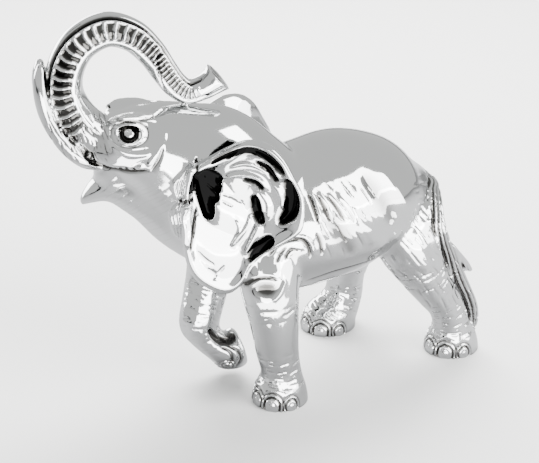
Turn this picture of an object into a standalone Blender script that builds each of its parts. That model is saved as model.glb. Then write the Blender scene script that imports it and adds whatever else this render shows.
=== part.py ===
"""A striding elephant with its head thrown up and its trunk curled back over the crown, cast in one piece.

The elephant faces -X, its left side faces -Y, and its soles stand on Z = 0.
Its pose and carving are shares of its own height: the tuples below are in parts of which 198 make the height,
so at full size they read as millimetres.
"""
import math

import bmesh
import bpy
from mathutils import Matrix, Vector

# Driving sizes, in metres
HEIGHT = 0.198                # soles to the top of the curled trunk
EAR_THICKNESS = 0.0056
TUSK_THICKNESS = 0.0072
TAIL_THICKNESS = 0.0092
NAIL_WIDTH = 0.0074
EYE_WIDTH = 0.0046
TRIANGLES = 9300              # faces of the finished solid

SHARE = HEIGHT / 198.0
GRAIN = 1.2 * SHARE           # the finest step of the fused surface

# The head, with its trunk, tusks and ears, is turned towards the elephant's right
HEAD_TURN = math.radians(20.0)
TURN_START = 25.0
TURN_LENGTH = 30.0

# Carving, in the same shares
RIB_DEPTH = 1.4               # rings across the sides of the trunk
RIB_PITCH_ROOT = 5.0
RIB_PITCH_TIP = 4.0
RIBS_FROM = 18.0              # where along the trunk the rings begin and end
RIBS_TO = 145.0
FOLD_DEPTH = 1.0              # crescents in the face of the ear
FOLD_PITCH = 5.4

SKIN_COLOUR = (0.82, 0.83, 0.84, 1.0)


def spline(points, steps):
    """Points of a smooth curve through the given tuples, all their numbers eased alike."""
    eased = []
    for i in range(len(points) - 1):
        before = points[max(i - 1, 0)]
        after = points[min(i + 2, len(points) - 1)]
        for step in range(steps):
            t = step / steps
            eased.append(tuple(
                0.5 * (2 * b + (c - a) * t + (2 * a - 5 * b + 4 * c - d) * t * t
                       + (3 * b - a - 3 * c + d) * t ** 3)
                for a, b, c, d in zip(before, points[i], points[i + 1], after)))
    eased.append(tuple(points[-1]))
    return eased


def bump(distance, width):
    """A soft rise that is 1 in the middle and gone at about twice its width."""
    return math.exp(-(distance / width) ** 2)


def skin(bm, rings):
    """Close a body over rings of as many points each, with a face across the first and the last."""
    loops = [[bm.verts.new(point) for point in ring] for ring in rings]
    count = len(loops[0])
    for near, far in zip(loops, loops[1:]):
        for i in range(count):
            j = (i + 1) % count
            bm.faces.new((near[i], near[j], far[j], far[i]))
    bm.faces.new(loops[0])
    bm.faces.new(reversed(loops[-1]))


def limb(bm, stations, sides=28, steps=4, relief=None):
    """A round form along a path, whose stations are (x, y, z, half width across y, half depth).

    relief(run, angle) adds to the radius: run is the way along the path, and angle is 0 on the side
    that faces away from the path's inner bend.
    """
    eased = spline(stations, steps)
    centres = [Vector(station[:3]) for station in eased]
    rings = []
    run = 0.0
    for i, station in enumerate(eased):
        along = (centres[min(i + 1, len(eased) - 1)] - centres[max(i - 1, 0)]).normalized()
        across = (Vector((0, 1, 0)) - along * along.y).normalized()
        deep = along.cross(across)
        if i:
            run += (centres[i] - centres[i - 1]).length
        ring = []
        for k in range(sides):
            angle = 2 * math.pi * k / sides
            more = relief(run, abs((angle + math.pi / 2) % (2 * math.pi) - math.pi)) if relief else 0.0
            ring.append(centres[i] + across * (station[3] + more) * math.cos(angle)
                        + deep * (station[4] + more) * math.sin(angle))
        rings.append(ring)
    skin(bm, rings)


def ball(bm, centre, radii):
    """An egg-shaped muscle, brow or toe."""
    made = bmesh.ops.create_uvsphere(bm, u_segments=20, v_segments=12, radius=1.0)
    for vert in made["verts"]:
        vert.co = Vector(centre) + Vector([a * b for a, b in zip(vert.co, radii)])


def turned(point):
    """Where a point of the straight head comes to lie once the neck is bent round."""
    reach = TURN_START - point.x
    angle = HEAD_TURN * min(max(reach / TURN_LENGTH, 0.0), 1.0)
    bend = TURN_LENGTH / HEAD_TURN
    straight = max(reach - TURN_LENGTH, 0.0) + min(reach, 0.0)
    x = TURN_START - bend * math.sin(angle) - straight * math.cos(angle) + point.y * math.sin(angle)
    y = bend * (1 - math.cos(angle)) + straight * math.sin(angle) + point.y * math.cos(angle)
    return Vector((x, y, point.z))


def swung(point):
    """The same turn for the ears, which swing stiffly with the skull."""
    pivot = Vector((TURN_START - TURN_LENGTH / 2, 0, 0))
    return pivot + Matrix.Rotation(-HEAD_TURN, 3, "Z") @ (point - pivot)


def torso(bm):
    limb(bm, [(-18, 3, 74, 8, 9), (-10, 2, 76.5, 16, 17), (0, 0, 79, 23, 26), (12, 0, 81, 29, 33),
              (28, 0, 83.2, 33, 36), (44, 0, 84.8, 34, 36.8), (60, 0, 86.3, 34.5, 36.6),
              (75, 0, 85.3, 32, 32), (90, 0, 81.3, 26.5, 24.4), (101, 0, 79, 21, 17.5),
              (108, 0, 77, 14, 12), (112, 0, 76, 7, 7)])


def foot(bm, centre, radius):
    """Five nails round the front of a planted foot."""
    nail = NAIL_WIDTH / 2 / SHARE
    for step in range(5):
        angle = math.radians(-90 + 45 * step)
        out = radius - 0.45 * nail
        ball(bm, (centre[0] - out * math.cos(angle), centre[1] + out * math.sin(angle), 3.6),
             (nail, nail, 1.25 * nail))


def legs(bm):
    # left foreleg, straight and planted
    limb(bm, [(14, -8, 96, 12, 17), (11, -14, 82, 13.5, 18), (9, -20, 70, 13.5, 16.5),
              (7.8, -25, 58, 12, 14.4), (8.8, -26.5, 44, 10.8, 12.4), (10.2, -27, 28, 10, 10.8),
              (12.2, -27.2, 16, 9.8, 10), (12, -27.3, 9, 12, 12.4), (11.6, -27.3, 2, 13.6, 14),
              (11.6, -27.3, -6, 13.6, 14)])
    foot(bm, (11.6, -27.3), 13.8)
    # left hind leg, stretched behind
    limb(bm, [(88, -8, 86, 12, 15), (89, -14, 76, 16, 19), (91, -18.5, 62, 16, 17.6),
              (95.5, -22, 49, 13.5, 13.4), (102.3, -23.6, 36.5, 11, 10.8), (109, -24, 26, 9.4, 9.4),
              (112.7, -24, 16, 9.8, 9.8), (113.5, -23.7, 9, 12, 12.4), (113.7, -23.5, 2, 13.6, 14.2),
              (113.7, -23.5, -6, 13.6, 14.2)])
    foot(bm, (113.7, -23.5), 13.9)
    # right hind leg, under the body
    limb(bm, [(88, 8, 86, 12, 15), (87, 14, 76, 16, 19), (85, 19, 62, 15.5, 17), (81, 23, 46, 12.5, 13.5),
              (78.6, 25, 30, 10, 10), (77.6, 25, 19, 9.6, 10), (74.5, 25.5, 11, 10.8, 11.6),
              (69.6, 26, 4, 13.4, 14.4), (68.8, 26, 0, 13.8, 14.8), (68.8, 26, -6, 13.8, 14.8)])
    foot(bm, (68.8, 26), 14.2)
    # right foreleg, lifted, its sole curled back and up
    limb(bm, [(10, 14, 98, 13, 18), (6, 18, 82, 14, 18), (1, 19.5, 68, 12.5, 15), (-4.5, 17.5, 52, 11, 12),
              (-10, 14, 39, 10.2, 10.8), (-13.4, 11.6, 30, 9.6, 10.4), (-13, 10, 24, 7, 8)])
    limb(bm, [(-14, 12.5, 36, 7.5, 8), (-13, 11, 28, 9, 9.2), (-9.8, 8.6, 21.6, 8, 8),
              (-6, 6.4, 17.6, 7.8, 8), (-1.5, 5.4, 15.2, 9, 10.8), (3, 4.8, 14.8, 9.8, 11.4),
              (6.4, 4.4, 15.6, 9, 10)])
    nail = NAIL_WIDTH / 2 / SHARE
    for step in range(4):
        angle = math.radians(-75 + 50 * step)
        ball(bm, (-2.6, 5.2 + 8.2 * math.sin(angle), 14.6 - 9.6 * math.cos(angle)), (1.2 * nail, nail, nail))


def head(bm):
    limb(bm, [(24, 0, 86, 29, 31), (8, 0, 97, 27, 34), (-6, 0, 107, 24, 36.5), (-16, 0, 115.5, 21.5, 36),
              (-26, 0, 122, 19.5, 31.5), (-36, 0, 128, 18, 25.2), (-46, 0, 131.5, 16.2, 19.6),
              (-55, 0, 133.8, 14, 15), (-62, 0, 136, 11.5, 11.5), (-66, 0, 138, 8, 8)])
    # throat, lower jaw and its pointed lip
    limb(bm, [(-4, 0, 86, 20, 24), (-14, 0, 90, 18, 22), (-24, 0, 95, 16, 19.5), (-34, 0, 101, 14.5, 16),
              (-43, 0, 105.5, 12.5, 12.5), (-53, 0, 109.5, 10, 9.8), (-61, 0, 109.2, 7.8, 7.2),
              (-68.5, 0, 104.6, 4.6, 3.6), (-72, 0, 101, 2.0, 1.2)])
    for side in (-1, 1):
        ball(bm, (-50, 8.5 * side, 132), (17, 8.2, 9.5))
        ball(bm, (-47, 9 * side, 147.2), (12, 4.2, 3.4))


def eyes(bm):
    half = EYE_WIDTH / 2 / SHARE
    for side in (-1, 1):
        ball(bm, (-48.6, 12.6 * side, 142.2), (1.5 * half, half, 1.1 * half))
        # lids, as two thin rolls over and under the ball
        for lift in (-1, 1):
            limb(bm, [(-53.4, 11 * side, 141.6, 0.5, 0.5),
                      (-51, (12.2 - 0.5 * lift) * side, 142.2 + 2.3 * lift, 1.1, 1.1),
                      (-47.6, (13.1 - 0.5 * lift) * side, 142.4 + 2.3 * lift, 1.1, 1.1),
                      (-44, 13.2 * side, 142, 0.5, 0.5)], sides=10)


def rib_relief(run, angle):
    """Rings across both sides of the trunk, between its smooth outer and inner bands."""
    share = min(run / RIBS_TO, 1.0)
    pitch = RIB_PITCH_ROOT + (RIB_PITCH_TIP - RIB_PITCH_ROOT) * share
    degrees = math.degrees(angle)
    side = min(max((degrees - 48) / 8, 0.0), 1.0) * min(max((146 - degrees) / 10, 0.0), 1.0)
    start = min(max((run - RIBS_FROM) / 8, 0.0), 1.0) * min(max((RIBS_TO - run) / 6, 0.0), 1.0)
    depth = RIB_DEPTH * (1 - 0.2 * share)
    return side * start * depth * (0.5 * math.cos(2 * math.pi * run / pitch) - 0.6)


def trunk(bm):
    limb(bm, [(-46, 0, 129, 12.5, 13), (-56, 0, 132.5, 12, 12.5), (-65, 0, 138, 11, 11),
              (-72.6, 0, 147.2, 9.8, 10), (-77, 0, 159.6, 8.8, 9), (-75.8, 0, 172, 8.4, 8.8),
              (-69, 0, 183.4, 8, 8.6), (-56.8, 0, 189.6, 7.6, 8.4), (-44.9, 0, 186.2, 7.2, 7.7),
              (-36.4, 0, 177.6, 6.8, 7), (-30.6, 0, 168.3, 6.5, 6.5), (-25.4, 0, 160.6, 6.4, 6.2),
              (-19.4, 0, 156.4, 6.2, 5.8), (-12.6, 0, 158, 6, 5.9), (-8, 0, 160.6, 6.4, 6.6),
              (-4.8, 0, 163.2, 7, 8)], sides=48, steps=14, relief=rib_relief)


def tusks(bm):
    half = TUSK_THICKNESS / 2 / SHARE
    for side in (-1, 1):
        limb(bm, [(-58, 4.5 * side, 121, 1.1 * half, 1.1 * half),
                  (-64, 8 * side, 124.2, 1.1 * half, 1.1 * half),
                  (-69.5, 9 * side, 127.5, 1.1 * half, 1.1 * half),
                  (-76.5, 8.5 * side, 134.5, 1.1 * half, 1.1 * half),
                  (-82.4, 7 * side, 143, 1.15 * half, 1.05 * half),
                  (-86.4, 5.6 * side, 152, 1.15 * half, half),
                  (-88.2, 4.6 * side, 161, 1.15 * half, 0.95 * half),
                  (-88.4, 3.8 * side, 168, 1.0 * half, 0.85 * half),
                  (-87.6, 3.2 * side, 173.4, 0.75 * half, 0.6 * half),
                  (-87.0, 3.0 * side, 175, 0.4 * half, 0.3 * half)])


def ear_face(x, z, reach):
    """How far the ear's face stands out sideways: rolled rim, hollow, lobe and crescent folds."""
    out = 23.5 + 0.0054 * (x + 22) ** 2
    out += 2.2 * bump(reach - 0.92, 0.09) - 2.6 * bump(reach, 0.62)
    out -= 5.0 * bump(math.hypot((x + 11) / 9, (z - 115) / 11), 1.0)
    out += 3.0 * bump(math.hypot((x + 9) / 12, (z - 80) / 18), 1.0)
    from_focus = math.hypot(x + 3, z - 94)
    bearing = math.degrees(math.atan2(z - 94, x + 3))
    fan = min(max((bearing + 80) / 25, 0.0), 1.0) * min(max((120 - bearing) / 25, 0.0), 1.0)
    band = min(max((from_focus - 6) / 4, 0.0), 1.0) * min(max((0.9 - reach) / 0.1, 0.0), 1.0)
    return out + FOLD_DEPTH * fan * band * math.cos(2 * math.pi * from_focus / FOLD_PITCH)


def ears(bm):
    """Each ear is a dish: rings run from the middle of its face to the rim and back behind it."""
    outline = [(30.5, 106), (28.5, 97), (18, 87.3), (7.3, 78.5), (1.2, 65.6), (-6, 60.8), (-14.5, 64),
               (-21.5, 71), (-25, 82), (-26, 97), (-25, 112), (-21.5, 126), (-12, 132.6), (-4, 137.5),
               (5, 141.6), (14, 140.6), (21, 134.5), (26, 125), (30, 116)]
    hub = (-1.0, 103.0)
    thick = EAR_THICKNESS / SHARE
    edge = spline(outline + outline[:1], 6)[:-1]
    face = [(step / 26, 0.0) for step in range(1, 26)]
    back = [(0.99, 0.15), (1.0, 0.5), (0.98, 0.85), (0.85, 1.1), (0.5, 1.8), (0.05, 1.8)]
    for side in (-1, 1):
        # the right ear sits a little further forward than the left
        forward = 5.0 if side > 0 else 0.0
        rings = []
        for reach, sunk in face + back:
            ring = []
            for x, z in edge:
                x = hub[0] + reach * (x - hub[0])
                z = hub[1] + reach * (z - hub[1])
                out = ear_face(x, z, min(reach, 1.0 - 0.07 * sunk))
                ring.append((x - forward, side * (out - sunk * thick), z))
            rings.append(ring)
        skin(bm, rings)


def tail(bm):
    half = TAIL_THICKNESS / 2 / SHARE
    limb(bm, [(98, 1, 88, 0.5 * half, 0.5 * half), (104.6, -4, 90, 0.65 * half, 0.65 * half),
              (105.4, -10.5, 90, 0.75 * half, 0.75 * half), (102.8, -17.5, 88, 0.85 * half, 0.8 * half),
              (100.3, -23.3, 82.6, half, 0.9 * half),
              (99.2, -27.3, 75.8, 1.05 * half, 0.9 * half), (101.8, -27.8, 66.4, 1.05 * half, 0.9 * half),
              (107, -26.5, 55.5, 1.1 * half, 0.95 * half), (112.6, -26, 42.6, 1.15 * half, 1.05 * half),
              (117.5, -26.5, 32, 1.15 * half, 1.05 * half), (121.2, -26.6, 23, 0.95 * half, 0.95 * half),
              (123.4, -26.6, 14, 0.65 * half, 0.65 * half), (123.8, -26.4, 10.5, 0.3 * half, 0.3 * half)])
    # one lock of the tuft stands away
    limb(bm, [(103, -26, 66, 0.55 * half, 0.55 * half), (108.5, -25.5, 59, 0.8 * half, 0.7 * half),
              (115, -24.5, 51, 0.85 * half, 0.7 * half), (120, -24, 45.6, 0.7 * half, 0.55 * half),
              (123.3, -24, 42.6, 0.35 * half, 0.25 * half)])


def mesh_object(name, bm, collection):
    """Hand a finished bmesh over to a new object."""
    bmesh.ops.recalc_face_normals(bm, faces=bm.faces[:])
    mesh = bpy.data.meshes.new(name)
    bm.to_mesh(mesh)
    bm.free()
    made = bpy.data.objects.new(name, mesh)
    collection.objects.link(made)
    return made


def add_posed(bm, makers, pose):
    """Model some forms on the straight figure, pose them and add them to the rest."""
    forms = bmesh.new()
    for maker in makers:
        maker(forms)
    for vert in forms.verts:
        vert.co = pose(vert.co) * SHARE
    bmesh.ops.recalc_face_normals(forms, faces=forms.faces[:])
    carrier = bpy.data.meshes.new("carrier")
    forms.to_mesh(carrier)
    forms.free()
    bm.from_mesh(carrier)
    bpy.data.meshes.remove(carrier)


def fused(name, bm, rounds, collection):
    """One skin over overlapping forms, its seams eased, as a new mesh."""
    rough = mesh_object(name, bm, collection)
    remesh = rough.modifiers.new("Fuse", "REMESH")
    remesh.mode = "VOXEL"
    remesh.voxel_size = GRAIN
    remesh.adaptivity = 0.0
    ease = rough.modifiers.new("Ease", "SMOOTH")
    ease.factor = 0.5
    ease.iterations = rounds
    bpy.context.view_layer.update()
    seen = rough.evaluated_get(bpy.context.evaluated_depsgraph_get())
    mesh = bpy.data.meshes.new_from_object(seen)
    bpy.data.objects.remove(rough)
    return mesh


def grinder(collection):
    """The block below Z = 0 that the soles are ground flat on."""
    ground = bmesh.new()
    bmesh.ops.create_cube(ground, size=1.0)
    for vert in ground.verts:
        vert.co.x *= 3 * HEIGHT
        vert.co.y *= 3 * HEIGHT
        vert.co.z = (vert.co.z - 0.5) * 0.1 * HEIGHT
    made = mesh_object("grinder", ground, collection)
    made.hide_render = True
    made.display_type = "WIRE"
    return made


def silver():
    """Bright silver leaf over the resin."""
    finish = bpy.data.materials.new("silver_laminate")
    finish.use_nodes = True
    shader = finish.node_tree.nodes["Principled BSDF"]
    shader.inputs["Base Color"].default_value = SKIN_COLOUR
    shader.inputs["Metallic"].default_value = 1.0
    shader.inputs["Roughness"].default_value = 0.08
    return finish


def build():
    for old in list(bpy.data.objects):
        bpy.data.objects.remove(old)
    figure = bpy.data.collections.new("resin_elephant")
    cutters = bpy.data.collections.new("cutters")
    bpy.context.scene.collection.children.link(figure)
    bpy.context.scene.collection.children.link(cutters)

    # Body, legs and skull come first, eased until the muscles run into each other
    masses = bmesh.new()
    add_posed(masses, (torso, legs), Vector)
    add_posed(masses, (head,), turned)
    body = fused("masses", masses, 14, figure)

    # Trunk, tusks, eyes, ears and tail join that body, and are only lightly eased
    details = bmesh.new()
    add_posed(details, (trunk, tusks, eyes), turned)
    add_posed(details, (ears,), swung)
    add_posed(details, (tail,), Vector)
    details.from_mesh(body)
    form = fused("form", details, 2, figure)

    elephant = bpy.data.objects.new("elephant", form)
    figure.objects.link(elephant)
    fewer = elephant.modifiers.new("Fewer faces", "DECIMATE")
    fewer.ratio = TRIANGLES / (2.0 * len(form.polygons))
    cut = elephant.modifiers.new("Flat soles", "BOOLEAN")
    cut.operation = "DIFFERENCE"
    cut.solver = "EXACT"
    cut.object = grinder(cutters)

    # The origin is under the middle of the figure's box
    bpy.context.view_layer.update()
    seen = elephant.evaluated_get(bpy.context.evaluated_depsgraph_get())
    corners = [Vector(corner) for corner in seen.bound_box]
    elephant.location.x = -(min(c.x for c in corners) + max(c.x for c in corners)) / 2
    elephant.location.y = -(min(c.y for c in corners) + max(c.y for c in corners)) / 2

    form.materials.clear()
    form.materials.append(silver())
    form.shade_smooth()


build()
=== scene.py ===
# %% [markdown]
# # A striding elephant, cast in resin and finished in silver
# The real figurine is one hollow resin casting. A sculptor carved the first one in clay, with every wrinkle
# in it, and each copy is coated in bright silver until it mirrors the room.
# We follow the sculptor: first round masses for trunk, legs and body, then one skin over all of them, then
# the carving, and last of all the silver and the studio that it mirrors.
# The imported model is loaded first. It gives the true size and place.

import math

import bmesh
import bpy
import numpy as np
from mathutils import Matrix, Vector
from mathutils.bvhtree import BVHTree
from mathutils.interpolate import poly_3d_calc


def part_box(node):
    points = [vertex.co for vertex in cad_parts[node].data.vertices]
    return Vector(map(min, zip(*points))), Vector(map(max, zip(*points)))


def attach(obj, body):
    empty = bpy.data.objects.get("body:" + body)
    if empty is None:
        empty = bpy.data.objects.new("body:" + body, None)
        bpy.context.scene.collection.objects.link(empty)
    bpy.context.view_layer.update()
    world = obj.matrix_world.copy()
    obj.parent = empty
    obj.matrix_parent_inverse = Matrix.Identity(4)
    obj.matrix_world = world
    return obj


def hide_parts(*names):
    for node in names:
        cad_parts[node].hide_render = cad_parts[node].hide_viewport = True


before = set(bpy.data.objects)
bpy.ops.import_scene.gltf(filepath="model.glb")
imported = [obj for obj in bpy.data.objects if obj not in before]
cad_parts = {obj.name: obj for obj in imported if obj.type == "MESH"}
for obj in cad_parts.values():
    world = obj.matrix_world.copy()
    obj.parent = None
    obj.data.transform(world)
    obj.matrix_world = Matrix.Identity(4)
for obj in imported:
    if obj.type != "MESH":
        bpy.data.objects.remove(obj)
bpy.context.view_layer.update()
box_low, box_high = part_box("elephant")
PARTS_IN_HEIGHT = 198.0  # the figure is drawn in parts of which this many make its height
MM = (box_high[2] - box_low[2]) / PARTS_IN_HEIGHT


def size(low, high):
    """The lengths of a box, in mm."""
    return [round((b - a) * 1000, 1) for a, b in zip(low, high)]


print("one drawn part is", round(MM * 1000, 4), "mm, and the box is", size(box_low, box_high), "mm")

# %% [markdown]
# ## Curves and soft edges
# Every form below is drawn as a few stations along its bones, the way a sculptor bends an armature wire.
# A Catmull-Rom curve eases all the numbers of a station alike, so a limb swells and tapers smoothly.
# Carving needs soft masks as well: a ramp that rises from 0 to 1, and a bump that fades on both sides.

# %% Helpers for curves and masks
def spline(points, steps):
    """Points of a smooth curve through the given tuples."""
    eased = []
    for i in range(len(points) - 1):
        before = points[max(i - 1, 0)]
        after = points[min(i + 2, len(points) - 1)]
        for step in range(steps):
            t = step / steps
            eased.append(tuple(
                0.5 * (2 * b + (c - a) * t + (2 * a - 5 * b + 4 * c - d) * t * t
                       + (3 * b - a - 3 * c + d) * t ** 3)
                for a, b, c, d in zip(before, points[i], points[i + 1], after)))
    eased.append(tuple(points[-1]))
    return eased


def ramp(value, start, end):
    """0 before start, 1 after end and smooth in between."""
    t = np.clip((value - start) / (end - start), 0.0, 1.0)
    return t * t * (3 - 2 * t)


def between(value, start, risen, falling, end):
    """A mask that rises from start to risen and falls again from falling to end."""
    return ramp(value, start, risen) * (1 - ramp(value, falling, end))


def bump(distance, width):
    """1 in the middle and gone at about twice the width."""
    return np.exp(-(distance / width) ** 2)


print("a curve through three stations has", len(spline([(0, 0), (1, 2), (3, 1)], 4)), "points")

# %% [markdown]
# ## Round masses
# A limb could be a curve with a bevel, but its section couldn't then be flatter one way than the other.
# So a circle is extruded from station to station, and each new ring is moved into its place. The circle's
# own cap closes the start, and a last face closes the end.

# %% A limb, a ball and a skin over rings
def grow_skin(bm, rings):
    """Extrude a circle through rings of points, and close both ends."""
    circle = bmesh.ops.create_circle(bm, cap_ends=True, segments=len(rings[0]), radius=1.0)
    loop = circle["verts"]
    for vert, point in zip(loop, rings[0]):
        vert.co = point
    members = set(loop)
    edges = [edge for edge in bm.edges if edge.verts[0] in members and edge.verts[1] in members]
    rank = {vert: i for i, vert in enumerate(loop)}
    for ring in rings[1:]:
        grown = bmesh.ops.extrude_edge_only(bm, edges=edges)["geom"]
        fresh = {}
        for vert in grown:
            if isinstance(vert, bmesh.types.BMVert):
                origin = next(e.other_vert(vert) for e in vert.link_edges if e.other_vert(vert) in rank)
                fresh[vert] = rank[origin]
        for vert, i in fresh.items():
            vert.co = ring[i]
        edges = [e for e in grown if isinstance(e, bmesh.types.BMEdge)
                 and e.verts[0] in fresh and e.verts[1] in fresh]
        rank = fresh
    bmesh.ops.contextual_create(bm, geom=edges)


def limb(bm, stations, sides=32, steps=6):
    """A round form along stations of (x, y, z, half width across y, half depth)."""
    eased = spline(stations, steps)
    centres = [Vector(station[:3]) for station in eased]
    rings = []
    for i, station in enumerate(eased):
        along = (centres[min(i + 1, len(eased) - 1)] - centres[max(i - 1, 0)]).normalized()
        across = (Vector((0, 1, 0)) - along * along.y).normalized()
        deep = along.cross(across)
        angles = [2 * math.pi * k / sides for k in range(sides)]
        rings.append([centres[i] + across * station[3] * math.cos(a) + deep * station[4] * math.sin(a)
                      for a in angles])
    grow_skin(bm, rings)


def ball(bm, centre, radii):
    """An egg-shaped muscle or brow."""
    place = Matrix.Translation(centre) @ Matrix.Diagonal((*radii, 1.0))
    bmesh.ops.create_uvsphere(bm, u_segments=28, v_segments=16, radius=1.0, matrix=place)


trial = bmesh.new()
limb(trial, [(0, 0, 0, 1, 1), (0, 0, 3, 2, 1), (0, 0, 6, 1, 1)])
print("a trial limb has", len(trial.faces), "faces and",
      sum(edge.is_boundary for edge in trial.edges), "open edges")
trial.free()

# %% [markdown]
# ## The turned head
# The elephant looks to its right, towards us. It is drawn looking straight ahead, because a symmetric head
# is easier to draw, and then its neck is bent. The ears swing stiffly with the skull.

# %% How the head is turned
HEAD_TURN = math.radians(20.0)
TURN_START = 25.0  # where the neck starts to bend, in drawn parts from the shoulder
TURN_LENGTH = 30.0
TURN_PIVOT = Vector((TURN_START - TURN_LENGTH / 2, 0, 0))


def turned(point):
    """Where a point of the straight head comes to lie once the neck is bent."""
    reach = TURN_START - point.x
    angle = HEAD_TURN * min(max(reach / TURN_LENGTH, 0.0), 1.0)
    bend = TURN_LENGTH / HEAD_TURN
    straight = max(reach - TURN_LENGTH, 0.0) + min(reach, 0.0)
    x = TURN_START - bend * math.sin(angle) - straight * math.cos(angle) + point.y * math.sin(angle)
    y = bend * (1 - math.cos(angle)) + straight * math.sin(angle) + point.y * math.cos(angle)
    return Vector((x, y, point.z))


def swung(point):
    """The same turn, stiff, for the ears."""
    return TURN_PIVOT + Matrix.Rotation(-HEAD_TURN, 3, "Z") @ (point - TURN_PIVOT)


def unswung(points):
    """Rows of posed points, back on the straight head."""
    x = points[:, 0] - TURN_PIVOT.x
    y = points[:, 1]
    c, s = math.cos(HEAD_TURN), math.sin(HEAD_TURN)
    return np.stack([TURN_PIVOT.x + c * x - s * y, s * x + c * y, points[:, 2]], axis=1)


print("the tip of the lower lip moves from (-72, 0) to",
      [round(v, 1) for v in turned(Vector((-72, 0, 103)))[:2]])

# %% [markdown]
# ## Body and legs
# The torso is one limb along the spine. Each leg is another, from inside the body down to below the ground,
# where it is cut off flat later. The right foreleg is lifted, with its sole curled back.

# %% Draw the torso and the legs
def torso(bm):
    limb(bm, [(-18, 3, 74, 8, 9), (-10, 2, 76.5, 16, 17), (0, 0, 79, 23, 26), (12, 0, 81, 29, 33),
              (28, 0, 83.2, 33, 36), (44, 0, 84.8, 34, 36.8), (60, 0, 86.3, 34.5, 36.6),
              (75, 0, 85.3, 32, 32), (90, 0, 81.3, 26.5, 24.4), (101, 0, 79, 21, 17.5),
              (108, 0, 77, 14, 12), (112, 0, 76, 7, 7)], sides=48)


LEFT_FORELEG = [(14, -8, 96, 12, 17), (11, -14, 82, 13.5, 18), (9, -20, 70, 13.5, 16.5),
                (7.8, -25, 58, 12, 14.4), (8.8, -26.5, 44, 10.8, 12.4), (10.2, -27, 28, 10, 10.8),
                (12.2, -27.2, 16, 9.8, 10), (12, -27.3, 9, 12, 12.4), (11.6, -27.3, 2, 13.6, 14),
                (11.6, -27.3, -6, 13.6, 14)]
LEFT_HIND_LEG = [(88, -8, 86, 12, 15), (89, -14, 76, 16, 19), (91, -18.5, 62, 16, 17.6),
                 (95.5, -22, 49, 13.5, 13.4), (102.3, -23.6, 36.5, 11, 10.8), (109, -24, 26, 9.4, 9.4),
                 (112.7, -24, 16, 9.8, 9.8), (113.5, -23.7, 9, 12, 12.4), (113.7, -23.5, 2, 13.6, 14.2),
                 (113.7, -23.5, -6, 13.6, 14.2)]
RIGHT_HIND_LEG = [(88, 8, 86, 12, 15), (87, 14, 76, 16, 19), (85, 19, 62, 15.5, 17), (81, 23, 46, 12.5, 13.5),
                  (78.6, 25, 30, 10, 10), (77.6, 25, 19, 9.6, 10), (74.5, 25.5, 11, 10.8, 11.6),
                  (69.6, 26, 4, 13.4, 14.4), (68.8, 26, 0, 13.8, 14.8), (68.8, 26, -6, 13.8, 14.8)]
LIFTED_LEG = [(10, 14, 98, 13, 18), (6, 18, 82, 14, 18), (1, 19.5, 68, 12.5, 15), (-4.5, 17.5, 52, 11, 12),
              (-10, 14, 39, 10.2, 10.8), (-13.4, 11.6, 30, 9.6, 10.4), (-13, 10, 24, 7, 8)]
LIFTED_FOOT = [(-14, 12.5, 36, 7.5, 8), (-13, 11, 28, 9, 9.2), (-9.8, 8.6, 21.6, 8, 8),
               (-6, 6.4, 17.6, 7.8, 8), (-1.5, 5.4, 15.2, 9, 10.8), (3, 4.8, 14.8, 9.8, 11.4),
               (6.4, 4.4, 15.6, 9, 10)]


def legs(bm):
    for stations in (LEFT_FORELEG, LEFT_HIND_LEG, RIGHT_HIND_LEG, LIFTED_LEG, LIFTED_FOOT):
        limb(bm, stations)


# %% [markdown]
# ## Head
# A skull that rises from the neck, a lower jaw that ends in the elephant's pointed lip, and a cheek and a
# brow on each side. The forehead is left flat, as the sculptor left it.

# %% Draw the head
def head(bm):
    limb(bm, [(24, 0, 86, 29, 31), (8, 0, 97, 27, 34), (-6, 0, 107, 24, 36.5), (-16, 0, 115.5, 21.5, 36),
              (-26, 0, 122, 19.5, 31.5), (-36, 0, 128, 18, 25.2), (-46, 0, 131.5, 16.2, 19.6),
              (-55, 0, 133.8, 14, 15), (-62, 0, 136, 11.5, 11.5), (-66, 0, 138, 8, 8)], sides=48)
    limb(bm, [(-4, 0, 86, 20, 24), (-14, 0, 90, 18, 22), (-24, 0, 95, 16, 19.5), (-34, 0, 101, 14.5, 16),
              (-43, 0, 105.5, 12.5, 12.5), (-53, 0, 109.5, 10, 9.8), (-61, 0, 109.2, 7.8, 7.2),
              (-68.5, 0, 104.6, 4.6, 3.6), (-72, 0, 101, 2.0, 1.2)])
    for side in (-1, 1):
        ball(bm, (-50, 8.5 * side, 132), (17, 8.2, 9.5))
        ball(bm, (-54.5, 2.5 * side, 118.5), (11, 7.5, 8.5))
        ball(bm, (-47, 9 * side, 147.2), (12, 4.2, 3.4))


# %% [markdown]
# ## Trunk, tusks and tail
# The trunk is a limb too, thrown up and curled back over the crown until its tip rests on the forehead.
# Its rings are carved later. The tusks lie along its outer edge, and the tail hangs against the left thigh
# with one lock of its tuft standing away.

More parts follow.
